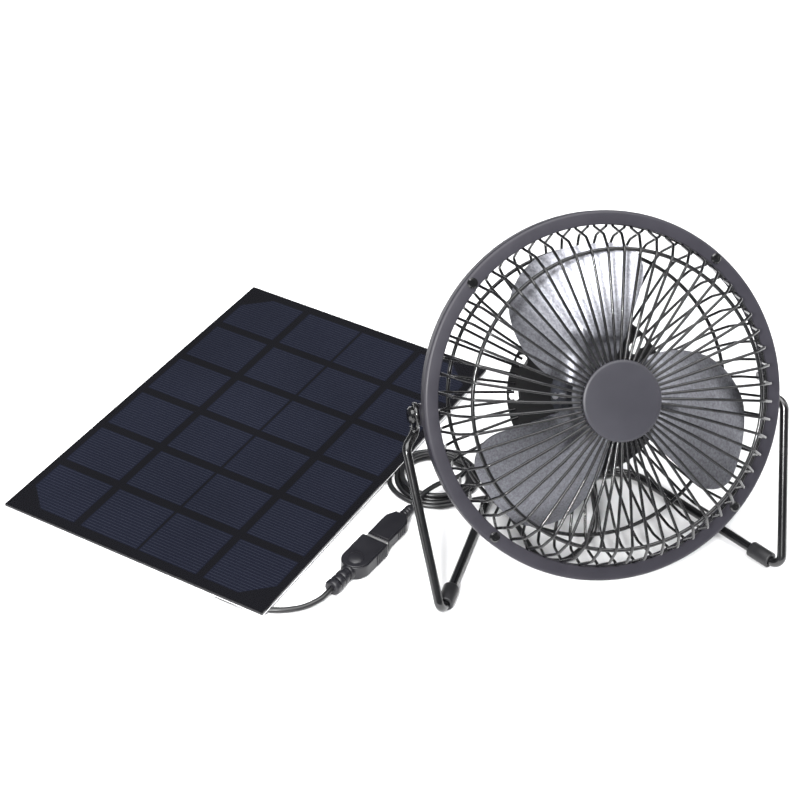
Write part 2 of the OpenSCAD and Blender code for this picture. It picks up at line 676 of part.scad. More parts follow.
module shell(len, w, h) difference() {
  translate([0, -w / 2, -h / 2]) cube([len, w, h]);
  translate([-1, -w / 2 + shell_t, -h / 2 + shell_t]) cube([len + 2, w - 2 * shell_t, h - 2 * shell_t]);
}

module socket_shell() color("silver") on_plug_line() translate([-15.9, 0, 0])
  shell(15.9, shell_w + 1.2, shell_h + 1.2);

module socket_contacts() color("#c9a24a") on_plug_line() difference() {
  translate([-15.5, -5, -1.5]) cube([4, 10, 3]);
  translate([-12.2, -4, -0.8]) cube([2, 8, 1.6]);
}

// ---------- Fan cord and plug ----------

module fan_cord() color("#202023") in_fan() tube(smooth(cord_route, 2), cord_d / 2, 8);

module cord_coil() color("#202023") in_fan() translate([coil_at[0], coil_at[1], 0.02]) rotate_extrude()
  union() {
    translate([coil_r - coil_w / 2, 0]) square([coil_w, cord_d + 0.1]);
    translate([coil_r - coil_w / 2, cord_d]) square([coil_top_w, coil_h - cord_d]);
  }

module cord_tail() color("#202023") in_fan() tube(smooth(tail_route, 3), cord_d / 2, 8);

module plug_strain_relief() color("#26262b") on_plug_line()
  translate([plug_gap + plug_len, 0, 0]) rotate([0, 90, 0]) difference() {
    union() {
      cylinder(r1 = 3.2, r2 = 2.3, h = plug_relief_len);
      for (z = [6, 9, 12]) translate([0, 0, z]) cylinder(r = 3, h = 1.6);
    }
    translate([0, 0, plug_relief_len - 3]) cylinder(r = cord_d / 2 + 0.05, h = 5);
  }

module plug_overmould() color("#26262b") on_plug_line() difference() {
  translate([plug_gap, 0, -plug_h / 2]) linear_extrude(plug_h)
    polygon([[0, -plug_w / 2], [plug_len, -plug_w / 2], [plug_len + 5, -plug_w / 2 + 3],
      [plug_len + 5, plug_w / 2 - 3], [plug_len, plug_w / 2], [0, plug_w / 2]]);
  translate([plug_gap - 1, -shell_w / 2 - 0.05, -shell_h / 2 - 0.05]) cube([6, shell_w + 0.1, shell_h + 0.1]);
  translate([plug_gap + plug_len - 0.05, 0, 0]) rotate([0, 90, 0]) cylinder(r = 3.25, h = 8);
}

module plug_shell() color("silver") on_plug_line() translate([-11.2, 0, 0])
  shell(plug_gap + 4.8 + 11.2, shell_w, shell_h);

module plug_tongue() color("#e8e8ea") on_plug_line() translate([-11, -shell_w / 2 + 0.32, 0])
  cube([plug_gap + 15.7, shell_w - 0.64, shell_h / 2 - 0.32]);

// ---------- Nodes ----------

front_rim();
rear_rim();
rim_screws();
rim_nuts();
front_guard_wires();
front_guard_hoops();
front_badge();
badge_backing();
rear_guard_wires();
rear_guard_hoops();
motor_plate();
rear_housing();
housing_screws();
motor_can();
motor_magnets();
motor_end_cap();
front_bushing();
rear_bushing();
motor_brushes();
motor_screws();
switch_body();
cord_gland();
pivot_tabs();
pivot_screws();
pivot_washers();
pivot_nuts();
motor_shaft();
armature_core();
armature_windings();
commutator();
blade_hub();
blades();
hub_rivets();
switch_rocker();
stand_wire();
stand_eyes();
foot_sleeves();
panel_board();
solar_cells();
panel_cover();
panel_pads();
junction_box();
panel_lead();
lead_strain_relief();
socket_overmould();
socket_shell();
socket_contacts();
fan_cord();
cord_coil();
cord_tail();
plug_strain_relief();
plug_overmould();
plug_shell();
plug_tongue();
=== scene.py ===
"""Desk fan on a wire stand, with a flat solar panel and the USB leads that join them."""

import json
import math

import bmesh
import bpy
from mathutils import Matrix, Vector


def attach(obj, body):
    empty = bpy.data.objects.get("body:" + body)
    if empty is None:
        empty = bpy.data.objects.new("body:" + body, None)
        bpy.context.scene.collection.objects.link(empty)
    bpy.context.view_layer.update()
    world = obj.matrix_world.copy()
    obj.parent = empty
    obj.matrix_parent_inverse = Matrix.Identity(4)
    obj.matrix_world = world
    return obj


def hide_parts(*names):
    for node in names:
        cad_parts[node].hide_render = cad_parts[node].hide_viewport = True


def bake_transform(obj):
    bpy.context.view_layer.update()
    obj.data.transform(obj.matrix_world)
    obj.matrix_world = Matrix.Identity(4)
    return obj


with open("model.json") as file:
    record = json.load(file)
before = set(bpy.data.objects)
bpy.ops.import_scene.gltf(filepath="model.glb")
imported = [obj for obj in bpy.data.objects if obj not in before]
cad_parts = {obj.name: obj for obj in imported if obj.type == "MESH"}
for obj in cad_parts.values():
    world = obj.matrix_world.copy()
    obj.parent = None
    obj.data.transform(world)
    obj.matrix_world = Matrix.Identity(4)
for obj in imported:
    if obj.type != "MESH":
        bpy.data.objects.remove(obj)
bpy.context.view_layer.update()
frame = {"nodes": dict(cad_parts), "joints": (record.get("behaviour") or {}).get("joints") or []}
JOINTS = {j["name"]: j for j in frame["joints"]}
MM = 0.001
BUMP_DEPTH = 0.2 * MM

# The tilt axis's middle, and the table point in front of it that most places are measured from
PIVOT = Vector(JOINTS["head_tilt"]["pos_m"])
PIVOT_BACK = 4.9 * MM
FAN = Vector((PIVOT.x, PIVOT.y - PIVOT_BACK, 0))
AXIS = Vector(JOINTS["blade_spin"]["axis"])
TILT = math.atan2(AXIS.z, -AXIS.y)
RING_FORWARD = 13.0 * MM
HEAD = (
    Matrix.Translation(PIVOT)
    @ Matrix.Rotation(math.pi / 2 - TILT, 4, "X")
    @ Matrix.Translation((0, 0, RING_FORWARD))
)


# ---------------------------------------------------------------- camera

CAMERA_FROM_FAN = Vector((-0.2944, -0.7504, 0.6879))
CAMERA_DOWN = math.radians(37.17)
CAMERA_HEADING = math.radians(14.35)
CAMERA_ROLL = math.radians(2.38)


def make_camera():
    data = bpy.data.cameras.new("camera")
    data.sensor_width = 36
    data.lens = 90
    data.clip_start = 0.01
    cam = bpy.data.objects.new("camera", data)
    bpy.context.collection.objects.link(cam)
    turn = (
        Matrix.Rotation(-CAMERA_HEADING, 4, "Z")
        @ Matrix.Rotation(math.pi / 2 - CAMERA_DOWN, 4, "X")
        @ Matrix.Rotation(CAMERA_ROLL, 4, "Z")
    )
    cam.matrix_world = Matrix.Translation(FAN + CAMERA_FROM_FAN) @ turn
    bpy.context.scene.camera = cam


make_camera()


# ---------------------------------------------------------------- materials


def new_material(name):
    mat = bpy.data.materials.new(name)
    mat.use_nodes = True
    return mat, mat.node_tree, mat.node_tree.nodes["Principled BSDF"]


def noise(tree, scale, detail=3.0, rough=0.5, stretch=None):
    """Noise in object space, which may be stretched along an axis."""
    coords = tree.nodes.new("ShaderNodeTexCoord")
    node = tree.nodes.new("ShaderNodeTexNoise")
    node.inputs["Scale"].default_value = scale
    node.inputs["Detail"].default_value = detail
    node.inputs["Roughness"].default_value = rough
    source = coords.outputs["Object"]
    if stretch:
        mapping = tree.nodes.new("ShaderNodeMapping")
        mapping.inputs["Scale"].default_value = stretch
        tree.links.new(source, mapping.inputs["Vector"])
        source = mapping.outputs["Vector"]
    tree.links.new(source, node.inputs["Vector"])
    return node.outputs["Fac"]


def ramp(tree, source, low, high, start=0.3, end=0.7):
    """Colour or grey that runs from low to high as source goes from start to end."""
    node = tree.nodes.new("ShaderNodeValToRGB")
    first, last = node.color_ramp.elements
    first.position, last.position = start, end
    first.color = (*low, 1) if len(low) == 3 else (low[0],) * 3 + (1,)
    last.color = (*high, 1) if len(high) == 3 else (high[0],) * 3 + (1,)
    tree.links.new(source, node.inputs["Fac"])
    return node.outputs["Color"]


def bump(tree, shader, source, strength, distance):
    node = tree.nodes.new("ShaderNodeBump")
    node.inputs["Strength"].default_value = strength
    node.inputs["Distance"].default_value = distance
    tree.links.new(source, node.inputs["Height"])
    tree.links.new(node.outputs["Normal"], shader.inputs["Normal"])


def surface(name, dark, light, rough, scale=60, metallic=0.0, coat=0.0, coat_rough=0.1,
            bump_scale=900, bump_strength=0.15, specular=0.5, stretch=None):
    """A surface whose colour and roughness vary a little, with a fine bump."""
    mat, tree, shader = new_material(name)
    variation = noise(tree, scale, 4, 0.6, stretch)
    tree.links.new(ramp(tree, variation, dark, light), shader.inputs["Base Color"])
    tree.links.new(ramp(tree, variation, (rough[0],), (rough[1],)), shader.inputs["Roughness"])
    shader.inputs["Metallic"].default_value = metallic
    shader.inputs["Coat Weight"].default_value = coat
    shader.inputs["Coat Roughness"].default_value = coat_rough
    shader.inputs["Specular IOR Level"].default_value = specular
    bump(tree, shader, noise(tree, bump_scale, 2, 0.5, stretch), bump_strength, BUMP_DEPTH)
    return mat


ENAMEL = surface("black_enamel", (0.0195, 0.0183, 0.0240), (0.0255, 0.0240, 0.0312), (0.38, 0.48), 40,
                 specular=0.28, bump_scale=1500, bump_strength=0.06)
WIRE = surface("wire_enamel", (0.0030, 0.0030, 0.0036), (0.0046, 0.0046, 0.0054), (0.20, 0.30), 60,
               coat=0.25, coat_rough=0.06, specular=0.35, bump_scale=1800, bump_strength=0.04)
ROD = surface("rod_enamel", (0.0030, 0.0030, 0.0035), (0.0045, 0.0045, 0.0050), (0.20, 0.28), 50,
              coat=0.4, coat_rough=0.1, bump_scale=1200, bump_strength=0.05)
BADGE = surface("badge_grey", (0.0215, 0.0210, 0.0262), (0.0275, 0.0268, 0.0335), (0.38, 0.46), 30,
                specular=0.35, bump_scale=2500, bump_strength=0.05)
STEEL = surface("plain_steel", (0.50, 0.50, 0.52), (0.62, 0.62, 0.64), (0.25, 0.40), 120, metallic=1.0)
CAN = surface("dark_zinc", (0.050, 0.052, 0.062), (0.070, 0.073, 0.085), (0.30, 0.42), 90, metallic=0.9)
PLATE = surface("plate_black", (0.0022, 0.0022, 0.0026), (0.0036, 0.0036, 0.0042), (0.45, 0.6), 60,
                specular=0.25, bump_scale=1400, bump_strength=0.06)
BRONZE = surface("bronze", (0.50, 0.34, 0.15), (0.60, 0.42, 0.20), (0.35, 0.5), 150, metallic=1.0)
COPPER = surface("copper_wire", (0.55, 0.22, 0.09), (0.70, 0.32, 0.14), (0.25, 0.4), 300, metallic=1.0,
                 bump_scale=3000, bump_strength=0.6)
FERRITE = surface("ferrite", (0.05, 0.05, 0.055), (0.09, 0.09, 0.095), (0.6, 0.8), 120)
MOULDED = surface("moulded_plastic", (0.006, 0.006, 0.007), (0.010, 0.010, 0.011), (0.42, 0.55), 90,
                  bump_scale=2600, bump_strength=0.12)
PLUG = surface("plug_pvc", (0.0055, 0.0053, 0.0075), (0.0085, 0.0082, 0.0112), (0.34, 0.44), 120,
               specular=0.4, bump_scale=3200, bump_strength=0.2)
CORD = surface("cord_pvc", (0.0045, 0.0045, 0.0052), (0.0080, 0.0080, 0.0090), (0.28, 0.40), 150,
               bump_scale=2600, bump_strength=0.1)
RUBBER = surface("foot_rubber", (0.0055, 0.0055, 0.0065), (0.0090, 0.0090, 0.0105), (0.40, 0.55), 150,
                 bump_scale=2400, bump_strength=0.2)
NICKEL = surface("nickel", (0.80, 0.80, 0.79), (0.90, 0.90, 0.89), (0.26, 0.38), 100, metallic=1.0)
BOARD = surface("board_edge", (0.70, 0.70, 0.71), (0.80, 0.80, 0.81), (0.5, 0.65), 200)
TONGUE = surface("white_tongue", (0.72, 0.72, 0.70), (0.80, 0.80, 0.78), (0.4, 0.5), 150)


def blade_material():
    """Rolled aluminium: a speckled grain, drawn out a little along the sheet, with soft clouding."""
    mat, tree, shader = new_material("blade_aluminium")
    speckle = noise(tree, 950, 4, 0.75, (1, 0.55, 1))
    cloud = noise(tree, 45, 4, 0.6)
    tree.links.new(ramp(tree, speckle, (0.110, 0.111, 0.124), (0.215, 0.218, 0.240), 0.36, 0.64),
                   shader.inputs["Base Color"])
    tree.links.new(ramp(tree, cloud, (0.32,), (0.44,)), shader.inputs["Roughness"])
    shader.inputs["Metallic"].default_value = 1.0
    bump(tree, shader, speckle, 0.25, BUMP_DEPTH)
    return mat


ALUMINIUM = blade_material()


def panel_material(name, dark, light, rough, weave):
    """Dark laminate with the fine weave of its surface film."""
    mat, tree, shader = new_material(name)
    tone = noise(tree, 14, 3, 0.5)
    tree.links.new(ramp(tree, tone, dark, light), shader.inputs["Base Color"])
    fine = noise(tree, 1400, 2, 0.5)
    tree.links.new(ramp(tree, fine, (rough[0],), (rough[1],)), shader.inputs["Roughness"])
    shader.inputs["Specular IOR Level"].default_value = 0.3
    bump(tree, shader, fine, weave, BUMP_DEPTH)
    return mat


BORDER = panel_material("panel_black", (0.0022, 0.0022, 0.0034), (0.0032, 0.0032, 0.0046),
                        (0.24, 0.32), 0.15)
CELL = panel_material("cell_navy", (0.0038, 0.0046, 0.0100), (0.0052, 0.0062, 0.0132),
                      (0.24, 0.32), 0.15)
FINGER = panel_material("cell_finger", (0.0140, 0.0160, 0.0250), (0.0195, 0.0220, 0.0330),
                        (0.30, 0.4), 0.1)


# ---------------------------------------------------------------- building


def link(name, data, mat, body, slot, *nodes):
    """Adds a finished mesh or curve, ties it to its body and hides the CAD nodes it replaces."""
    obj = bpy.data.objects.new(name, data)
    bpy.context.collection.objects.link(obj)
    if mat is not None and not data.materials:
        data.materials.append(mat)
    if body:
        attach(obj, body)
    if nodes:
        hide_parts(*nodes)
    return obj


def finish_mesh(bm, name, angle=32, place=None):
    bmesh.ops.remove_doubles(bm, verts=bm.verts, dist=1e-7)
    bmesh.ops.recalc_face_normals(bm, faces=bm.faces)
    mesh = bpy.data.meshes.new(name)
    bm.to_mesh(mesh)
    bm.free()
    mesh.shade_smooth()
    mesh.set_sharp_from_angle(angle=math.radians(angle))
    if place is not None:
        mesh.transform(place)
    return mesh


def add_mesh(name, bm, angle, place, mat, body, slot, *nodes):
    """Finishes a mesh and adds it as link does."""
    return link(name, finish_mesh(bm, name, angle, place), mat, body, slot, *nodes)


def rect(x0, y0, x1, y1):
    return [(x0, y0), (x1, y0), (x1, y1), (x0, y1)]


def lathe(bm, profile, segments=96, place=Matrix()):
    """Turns a closed profile of (radius, height) in mm round Z."""
    rings = []
    for i in range(segments):
        a = 2 * math.pi * i / segments
        rings.append([
            bm.verts.new(place @ Vector((r * math.cos(a), r * math.sin(a), z))) for r, z in profile
        ])
    for i in range(segments):
        here, following = rings[i], rings[(i + 1) % segments]
        for k in range(len(profile)):
            n = (k + 1) % len(profile)
            corners = [here[k], following[k], following[n], here[n]]
            unique = []
            for v in corners:
                if not any((v.co - u.co).length < 1e-9 for u in unique):
                    unique.append(v)
            if len(unique) > 2:
                bm.faces.new(unique)


def rounded(profile, radius, steps=4):
    """Rounds every corner of a closed 2D profile."""
    out = []
    n = len(profile)
    for i in range(n):
        p = Vector(profile[i])
        before, after = Vector(profile[i - 1]), Vector(profile[(i + 1) % n])
        d1, d2 = (before - p), (after - p)
        reach = min(radius, 0.45 * d1.length, 0.45 * d2.length)
        if p.x < 1e-6 or reach < 1e-6:
            out.append(tuple(p))
            continue
        start, end = p + d1.normalized() * reach, p + d2.normalized() * reach
        for k in range(steps + 1):
            t = k / steps
            q = start * (1 - t) ** 2 + p * 2 * t * (1 - t) + end * t ** 2
            out.append(tuple(q))
    return out


def scale_mm(matrix):
    """The same placement for points given in mm."""
    return matrix @ Matrix.Scale(MM, 4)


HEAD_MM = scale_mm(HEAD)


def poly_curve(name, lines, radius, resolution):
    """Round wires along lists of points in metres."""
    curve = bpy.data.curves.new(name, "CURVE")
    curve.dimensions = "3D"
    curve.bevel_depth = radius
    curve.bevel_resolution = resolution
    curve.use_fill_caps = True
    for line in lines:
        spline = curve.splines.new("POLY")
        spline.points.add(len(line) - 1)
        for point, co in zip(spline.points, line):
            point.co = (*co, 1)
        spline.use_smooth = True
    return curve


def fillet(points, radii, steps=6):
    """Replaces each inner corner of a path by an arc."""
    out = [points[0]]
    for i in range(1, len(points) - 1):
        p, before, after = points[i], points[i - 1], points[i + 1]
        d1, d2 = (p - before).normalized(), (after - p).normalized()
        turn = d1.angle(d2)
        r = radii[i - 1]
        if turn < 1e-3 or r <= 0:
            out.append(p)
            continue
        start = p - d1 * r * math.tan(turn / 2)
        centre = p + (d2 - d1).normalized() * r / math.cos(turn / 2)
        x_dir = (start - centre).normalized()
        for k in range(steps + 1):
            a = turn * k / steps
            out.append(centre + r * (math.cos(a) * x_dir + math.sin(a) * d1))
    out.append(points[-1])
    return out


def smooth_path(points, steps):
    """Catmull-Rom curve through the points."""
    out = []
    last = len(points) - 1
    for i in range(last):
        b, c = points[i], points[i + 1]
        a = points[i - 1] if i else 2 * b - c
        d = points[i + 2] if i + 2 <= last else 2 * c - b
        for k in range(steps):
            t = k / steps
            out.append(0.5 * (2 * b + (c - a) * t + (2 * a - 5 * b + 4 * c - d) * t ** 2
                              + (3 * b - a - 3 * c + d) * t ** 3))
    out.append(points[-1])
    return out


# ---------------------------------------------------------------- cords

CORD_R = 1.4 * MM
LEAD_R = 1.5 * MM
COIL_AT = Vector((-0.067, 0.055, 0))
COIL_START = math.radians(-78)
COIL_TURNS = 3.66
COIL_STEPS = 28
COIL_RADII = [23.4, 20.6, 17.8, 17.9]
COIL_LOW = 1.45
COIL_RISE = 2.8
CORD_ROUTE = [
    (0, 0.0104, 0.0427), (0.0002, 0.0076, 0.0382), (0.0015, 0.0046, 0.032), (0.0036, 0, 0.022),
    (0.004, -0.006, 0.0115), (0.001, -0.010, 0.0048), (-0.006, -0.015, 0.0017), (-0.0145, -0.021, 0.0015),
    (-0.023, -0.0215, 0.0015), (-0.0295, -0.016, 0.0015), (-0.032, -0.006, 0.0015), (-0.033, 0.004, 0.0016),
    (-0.035, 0.013, 0.0028), (-0.038, 0.0205, 0.0058), (-0.043, 0.026, 0.0075), (-0.049, 0.029, 0.0056),
    (-0.056, 0.0315, 0.0028),
]
TAIL_ROUTE = [
    (-0.048, 0.060, 0.0039), (-0.0505, 0.055, 0.0038), (-0.056, 0.0505, 0.0042), (-0.064, 0.0465, 0.0058),
    (-0.071, 0.042, 0.0072), (-0.0775, 0.0375, 0.0072), (-0.082, 0.0336, 0.006), (-0.0852, 0.0309, 0.0047),
    (-0.088, 0.0282, 0.0045),
]
LEAD_ROUTE = [
    (-0.2015, 0.0176, 0.0015), (-0.2045, 0.0125, 0.0015), (-0.2055, 0.004, 0.0015),
    (-0.2015, -0.0075, 0.0015), (-0.192, -0.0185, 0.0015), (-0.181, -0.0265, 0.0015),
    (-0.169, -0.031, 0.0016), (-0.157, -0.0318, 0.002), (-0.1475, -0.0296, 0.0035),
    (-0.142, -0.0258, 0.0044), (-0.1386, -0.0224, 0.0045),
]


def coil_turns():
    """Three turns side by side on the table, then most of a turn on top of them."""
    points = []
    count = int(COIL_TURNS * COIL_STEPS)
    for i in range(count + 1):
        turns = COIL_TURNS * i / count
        a = COIL_START - turns * 2 * math.pi
        k = min(int(turns), 3)
        t = turns - k
        ease = max(0.0, (t - 0.75) / 0.25)
        ease = ease * ease * (3 - 2 * ease)
        following = COIL_RADII[min(k + 1, 3)]
        r = COIL_RADII[k] + (following - COIL_RADII[k]) * ease
        climb = 0 if k < 2 else ease if k == 2 else 1
        z = COIL_LOW + COIL_RISE * climb
        if k == 0:
            r += 1.6 * math.exp(-((((a % (2 * math.pi)) - math.pi) / 0.7) ** 2))
        points.append(COIL_AT + Vector((r * math.cos(a), r * math.sin(a), z)) * MM)
    return points


def tube_mesh(name, points, radius, sides=12):
    """A round tube that follows the points, closed at both ends."""
    bm = bmesh.new()
    rings = []
    side = None
    for i, p in enumerate(points):
        tangent = (points[min(i + 1, len(points) - 1)] - points[max(i - 1, 0)]).normalized()
        if side is None:
            side = tangent.cross(Vector((0.2, 1, 0.1))).normalized()
        side = (side - tangent * side.dot(tangent)).normalized()
        other = tangent.cross(side)
        rings.append([
            bm.verts.new(p + radius * (math.cos(a) * side + math.sin(a) * other))
            for a in (2 * math.pi * k / sides for k in range(sides))
        ])
    for here, following in zip(rings, rings[1:]):
        for k in range(sides):
            n = (k + 1) % sides
            bm.faces.new((here[k], here[n], following[n], following[k]))
    bm.faces.new(rings[0][::-1])
    bm.faces.new(rings[-1])
    return finish_mesh(bm, name, 50)


def in_fan(points):
    return [FAN + Vector(p) for p in points]


cord_points = [Vector(p) for p in CORD_ROUTE] + coil_turns()[1:] + [Vector(p) for p in TAIL_ROUTE]
cord_line = [FAN + p for p in smooth_path(cord_points, 3)]
fan_cord = link("fan_cord_line", tube_mesh("fan_cord_line", cord_line, CORD_R), CORD, None, "cord_black",
                "fan_cord", "cord_coil", "cord_tail")
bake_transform(fan_cord)

lead_line = smooth_path(in_fan(LEAD_ROUTE), 5)
panel_lead = link("panel_lead_line", tube_mesh("panel_lead_line", lead_line, LEAD_R), CORD, "stand",
                  "cord_black", "panel_lead")


# ---------------------------------------------------------------- rim and guards

RIM_R = 92.0
RIM_IN = 84.9
RIM_FACE = 4.0
RIM_SEGMENTS = 192


def make_rim():
    sheet = 1.0
    profile = [
        (RIM_IN, RIM_FACE - 0.35), (RIM_IN + 0.35, RIM_FACE), (RIM_R - 1.7, RIM_FACE),
        (RIM_R - 1.0, RIM_FACE - 0.14), (RIM_R - 0.42, RIM_FACE - 0.5), (RIM_R - 0.1, RIM_FACE - 1.1),
        (RIM_R, RIM_FACE - 1.7), (RIM_R, -3.7), (RIM_R - 0.3, -4), (RIM_R - sheet, -3.9),
        (RIM_R - sheet, RIM_FACE - 1.9), (RIM_R - 1.25, RIM_FACE - 1.2), (RIM_R - 1.9, RIM_FACE - sheet),
        (RIM_IN + 0.3, RIM_FACE - sheet), (RIM_IN, RIM_FACE - 0.8),
    ]
    bm = bmesh.new()
    lathe(bm, profile, RIM_SEGMENTS)
    add_mesh("rim_front", bm, 28, HEAD_MM, ENAMEL, "fan_head", "black_enamel", "front_rim")
    bm = bmesh.new()
    lathe(bm, rounded(rect(RIM_IN, -4, RIM_R - 1.2, -3), 0.3, 2), RIM_SEGMENTS)
    add_mesh("rim_back", bm, 28, HEAD_MM, ENAMEL, "fan_head", "black_enamel", "rear_rim")


WIRE_COUNT = 56
WIRE_R = 0.75

# Each wire's corners as radius, height and twist in degrees
FRONT_WIRE = [(86.6, 2.2, -1), (84.2, 2.6, -1), (80.4, 19.2, -0.6), (73.2, 27.05, 0), (41.7, 28.8, 1.2),
              (17, 28, 3.5)]
REAR_WIRE = [(86.6, -2.25, 0), (84.4, -2.6, 0), (80, -19, 0), (73.2, -24.35, 0), (43, -26.65, 0),
             (38.6, -26.65, 0)]


def wire_line(profile, radii, turn):
    """One guard wire's centreline, bent at the profile's corners."""
    corners = []
    for r, z, twist in profile:
        a = math.radians(twist) + turn
        corners.append(Vector((r * math.cos(a), r * math.sin(a), z)))
    return [HEAD_MM @ p for p in fillet(corners, radii, 5)]


def make_guards():
    for name, profile, radii, node in (
        ("front_wires", FRONT_WIRE, [1.5, 3.5, 6, 14], "front_guard_wires"),
        ("rear_wires", REAR_WIRE, [1.5, 5, 8, 6], "rear_guard_wires"),
    ):
        lines = [wire_line(profile, radii, 2 * math.pi * i / WIRE_COUNT) for i in range(WIRE_COUNT)]
        curve = poly_curve(name, lines, WIRE_R * MM, 3)
        link(name, curve, WIRE, "fan_head", "black_enamel", node)
    for name, hoops, node in (
        ("front_hoops", [(85.9, 0.9, 0.8), (73.2, 25.3, 1.0)], "front_guard_hoops"),
        ("rear_hoops", [(85.9, -0.9, 0.8), (73.2, -26.1, 1.0)], "rear_guard_hoops"),
    ):
        bm = bmesh.new()
        for ring_r, z, r in hoops:
            section = [(ring_r + r * math.cos(a), z + r * math.sin(a))
                       for a in (2 * math.pi * k / 12 for k in range(12))]
            lathe(bm, section, 160)
        add_mesh(name, bm, 60, HEAD_MM, WIRE, "fan_head", "black_enamel", node)


def make_badge():
    disc = [(0, 28.8), (19.6, 28.8), (20, 29.1), (20, 29.7), (19.75, 30.2), (19.2, 30.5), (18.4, 30.6),
            (0, 30.6)]
    bm = bmesh.new()
    lathe(bm, disc, 128)
    add_mesh("badge_disc", bm, 30, HEAD_MM, BADGE, "fan_head", "badge_grey", "front_badge")
    backing = [(0, 25.7), (18.6, 25.7), (19, 26.0), (19, 26.9), (18.6, 27.15), (5, 27.15), (5, 28.8),
               (0, 28.8)]
    bm = bmesh.new()
    lathe(bm, backing)
    add_mesh("badge_back", bm, 30, HEAD_MM, ENAMEL, "fan_head", "black_enamel", "badge_backing")


make_rim()
make_guards()
make_badge()


# ---------------------------------------------------------------- impeller

TIP_R = 76.0
HUB_R = 17.0
HUB_Z = 2.0
HUB_BORE = 5.1
HUB_HALF = 0.6
SHEET_HALF = 0.5
BLADE_STEPS = 44
PITCH = math.tan(math.radians(22))
PLAIN_EDGE = -27.0


def swept_edge(r):
    return 57 - 33 * (max(r - 24, 0) / (TIP_R - 24)) ** 1.25


def blade_end(s):
    corner = 17.0
    width = TIP_R * math.radians(swept_edge(TIP_R) - PLAIN_EDGE)
    d = max(corner - min(s, 1 - s) * width, 0)
    return TIP_R - corner + math.sqrt(corner ** 2 - d ** 2)


def blade_vertex(s, q):
    """A point of the blade's middle surface: s runs across it, q from the hub to the tip."""
    root = HUB_R - 3
    r = root + q * (blade_end(s) - root)
    angle = PLAIN_EDGE + s * (swept_edge(r) - PLAIN_EDGE)
    middle = (PLAIN_EDGE + swept_edge(r)) / 2
    rise = min(max((r - HUB_R) / 14, 0), 1)
    rise = rise * rise * (3 - 2 * rise)
    z = -PITCH * r * math.radians(angle - middle) * rise
    a = math.radians(angle)
    across = r * math.sin(math.radians(angle - 11))
    along = min(max((r - 15) / 3, 0), 1) * min(max((38 - r) / 4, 0), 1)
    rib = 1.1 * math.exp(-((across / 2.4) ** 4)) * along
    camber = 2.2 * rise * (1 - (2 * s - 1) ** 2)
    return Vector((r * math.cos(a), r * math.sin(a), HUB_Z + z + rib + camber - 1.1 * rise))


def make_blades():
    bm = bmesh.new()
    n = BLADE_STEPS
    across = [0.5 - 0.5 * math.cos(math.pi * i / n) for i in range(n + 1)]
    outward = [1 - (1 - j / n) ** 1.25 for j in range(n + 1)]
    for blade in range(3):
        turn = Matrix.Rotation(math.radians(97 + 120 * blade), 4, "Z")
        grid = [[turn @ blade_vertex(s, q) for q in outward] for s in across]
        layers = []
        for side in (SHEET_HALF, -SHEET_HALF):
            layer = []
            for i, column in enumerate(grid):
                row = []
                for j, p in enumerate(column):
                    u = grid[min(i + 1, n)][j] - grid[max(i - 1, 0)][j]
                    v = column[min(j + 1, n)] - column[max(j - 1, 0)]
                    normal = u.cross(v).normalized()
                    if normal.z < 0:
                        normal.negate()
                    row.append(bm.verts.new(p + normal * side))
                layer.append(row)
            layers.append(layer)
        top, bottom = layers
        for i in range(n):
            for j in range(n):
                bm.faces.new((top[i][j], top[i + 1][j], top[i + 1][j + 1], top[i][j + 1]))
                bm.faces.new((bottom[i][j], bottom[i][j + 1], bottom[i + 1][j + 1], bottom[i + 1][j]))
        rim = ([(i, 0) for i in range(n)] + [(n, j) for j in range(n)]
               + [(i, n) for i in range(n, 0, -1)] + [(0, j) for j in range(n, 0, -1)])
        for (i, j), (k, m) in zip(rim, rim[1:] + rim[:1]):
            bm.faces.new((top[i][j], top[k][m], bottom[k][m], bottom[i][j]))
    lathe(bm, rounded(rect(HUB_BORE, HUB_Z - HUB_HALF, HUB_R, HUB_Z + HUB_HALF), 0.25, 2))
    add_mesh("impeller_sheet", bm, 40, HEAD_MM, ALUMINIUM, "rotor", "blade_aluminium", "blades")


make_blades()


# ---------------------------------------------------------------- stand

ROD_R = 2.4
ARM_X = 93.18
FOOT_CORNER = (90.2, -52, 4.75)
BACK_CORNER = (38, 42, ROD_R)
STAND_CORNERS = [(ARM_X, 4.9, 79.5), (ARM_X, 3.7, 76.5), (99.6, -4.5, 73.6), FOOT_CORNER, BACK_CORNER]
BENDS = [4, 6, 4, 25]
EYE_SIDES = 24


def make_stand():
    right = [Vector(p) for p in STAND_CORNERS]
    half = fillet(right + [Vector((0, BACK_CORNER[1], ROD_R))], BENDS, 10)[:-1]
    left = [Vector((-p.x, p.y, p.z)) for p in reversed(half)]
    line = [FAN + p * MM for p in half + left]
    curve = poly_curve("stand_rod", [line], ROD_R * MM, 6)
    link("stand_rod", curve, ROD, "stand", "rod_black", "stand_wire")
    bm = bmesh.new()
    for side in (1, -1):
        add_eye(bm, side)
    place = scale_mm(Matrix.Translation(PIVOT))
    add_mesh("stand_eye_plates", bm, 35, place, ROD, "stand", "rod_black", "stand_eyes")


